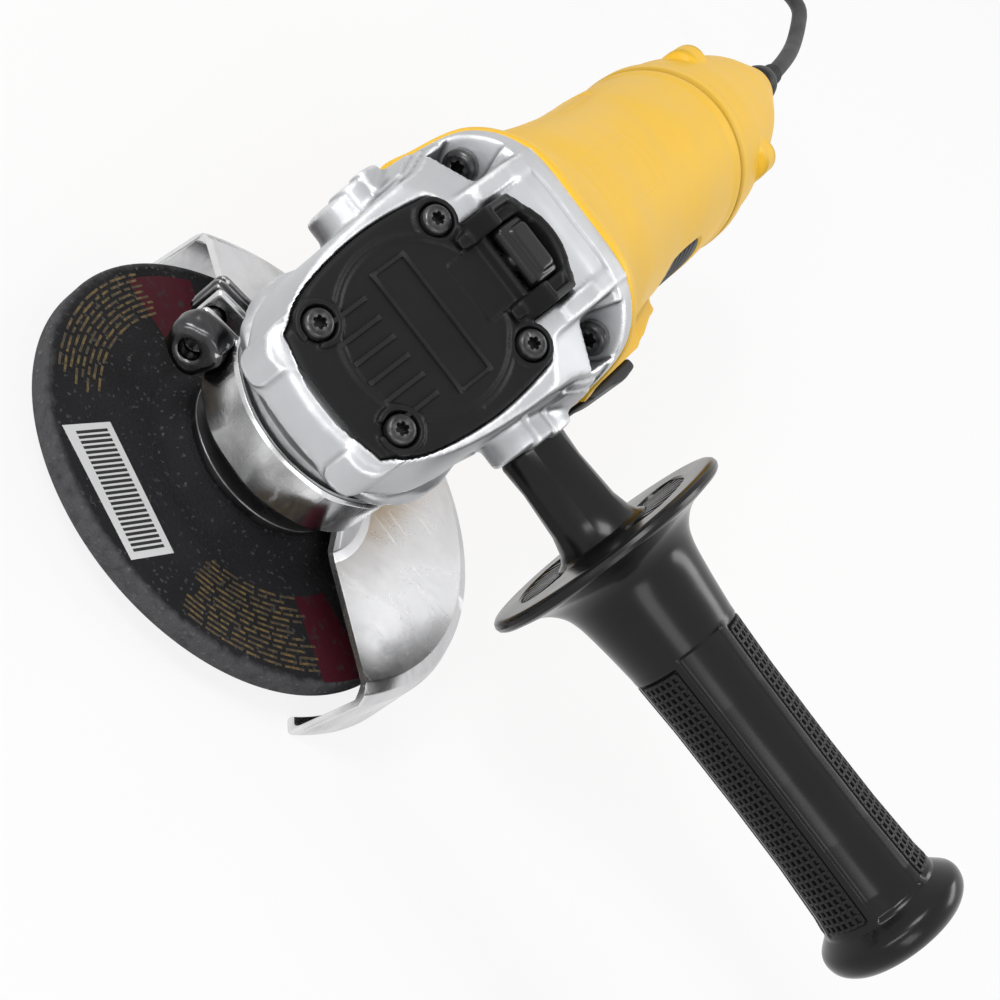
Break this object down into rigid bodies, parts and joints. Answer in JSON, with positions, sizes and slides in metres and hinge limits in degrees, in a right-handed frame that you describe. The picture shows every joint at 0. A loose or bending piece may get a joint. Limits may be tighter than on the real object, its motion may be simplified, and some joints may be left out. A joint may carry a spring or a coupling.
{
  "type": "angle grinder",
  "caption": "Corded hand-held angle grinder with an abrasive wheel, turning guard, side handle, spindle lock button, slide switch and flexible power cord.",
  "frame": {"origin": "centre of the spindle's free end face, on the wheel's axis", "axes": "+X from the motor towards the nose, +Z along the spindle away from the wheel, +Y towards the side that carries the slide switch and the fitted side handle"},
  "size_m": [0.4778, 0.3661, 0.1078],
  "materials": {
    "steel_turned": "turned steel, satin",
    "gear_steel": "machined steel, oiled",
    "flange_steel": "phosphated steel",
    "abrasive": "resin-bonded grit",
    "nut_steel": "phosphated steel",
    "cast_aluminium": "die-cast, bright edges",
    "cover_black": "satin black moulding",
    "black_screws": "black oxide",
    "bearing_steel": "ground bearing steel",
    "button_black": "gloss black moulding",
    "spring_steel": "drawn wire",
    "laminated_steel": "stacked laminations",
    "copper": "enamelled copper wire",
    "commutator_copper": "turned copper segments",
    "fan_plastic": "moulded",
    "carbon": "carbon",
    "brass_holder": "pressed brass",
    "housing_yellow": "satin moulding",
    "grip_black": "soft grip",
    "plated_steel": "bright zinc plate with smudges",
    "dark_steel": "dark oxide",
    "handle_black": "gloss black moulding",
    "cord_rubber": "moulded rubber",
    "plug_brass": "bare brass"
  },
  "bodies": {
    "body": {"gear_case": "cast_aluminium", "gear_case_cover": "cover_black", "cover_screws": "black_screws", "motor_screws": "black_screws", "bearing_box": "cast_aluminium", "lower_bearing": "bearing_steel", "bearing_retainer": "gear_steel", "top_bush": "bearing_steel", "fan_baffle": "fan_plastic", "front_bearing": "bearing_steel", "rear_bearing": "bearing_steel", "stator_core": "laminated_steel", "stator_windings": "copper", "brushes": "carbon", "brush_holders": "brass_holder", "brush_springs": "spring_steel", "motor_housing": "housing_yellow", "side_panels": "grip_black", "rear_cover": "housing_yellow", "rear_screws": "black_screws", "switch_module": "cover_black", "side_handle": "handle_black", "handle_stud": "steel_turned", "cord_protector": "cord_rubber", "cord_run": "cord_rubber", "cord_coil": "cord_rubber", "cord_tail": "cord_rubber", "plug_body": "cord_rubber", "plug_blades": "plug_brass"},
    "spindle": {"spindle": "steel_turned", "bevel_gear": "gear_steel", "backing_flange": "flange_steel", "grinding_wheel": "abrasive", "clamp_nut": "nut_steel"},
    "armature": {"armature_shaft": "steel_turned", "armature_core": "laminated_steel", "armature_windings": "copper", "commutator": "commutator_copper", "pinion": "gear_steel", "fan": "fan_plastic"},
    "lock": {"lock_button": "button_black", "lock_pin": "steel_turned", "lock_spring": "spring_steel"},
    "switch": {"switch_slider": "button_black", "switch_link": "fan_plastic"},
    "guard": {"guard": "plated_steel", "clamp_band": "plated_steel", "clamp_screw": "dark_steel", "clamp_screw_nut": "dark_steel"}
  },
  "joints": [
    {"name": "spindle_spin", "type": "hinge", "parent": "body", "child": "spindle", "pos_m": [0, 0, 0], "axis": [0, 0, 1], "continuous": true},
    {"name": "armature_spin", "type": "hinge", "parent": "body", "child": "armature", "pos_m": [0, 0, 0.0595], "axis": [1, 0, 0], "continuous": true},
    {"name": "lock_press", "type": "slide", "parent": "body", "child": "lock", "axis": [0, 0, -1], "range_m": [0, 0.0045], "stiffness_N_per_m": 900, "springref_m": -0.004, "deforming": ["lock_spring"]},
    {"name": "switch_slide", "type": "slide", "parent": "body", "child": "switch", "axis": [1, 0, 0], "range_m": [0, 0.006]},
    {"name": "guard_turn", "type": "hinge", "parent": "body", "child": "guard", "pos_m": [0, 0, 0], "axis": [0, 0, 1], "range_deg": [-40, 120]}
  ],
  "couplings": [
    {"joint": "armature_spin", "follows": "spindle_spin", "ratio": -3.1667}
  ]
}
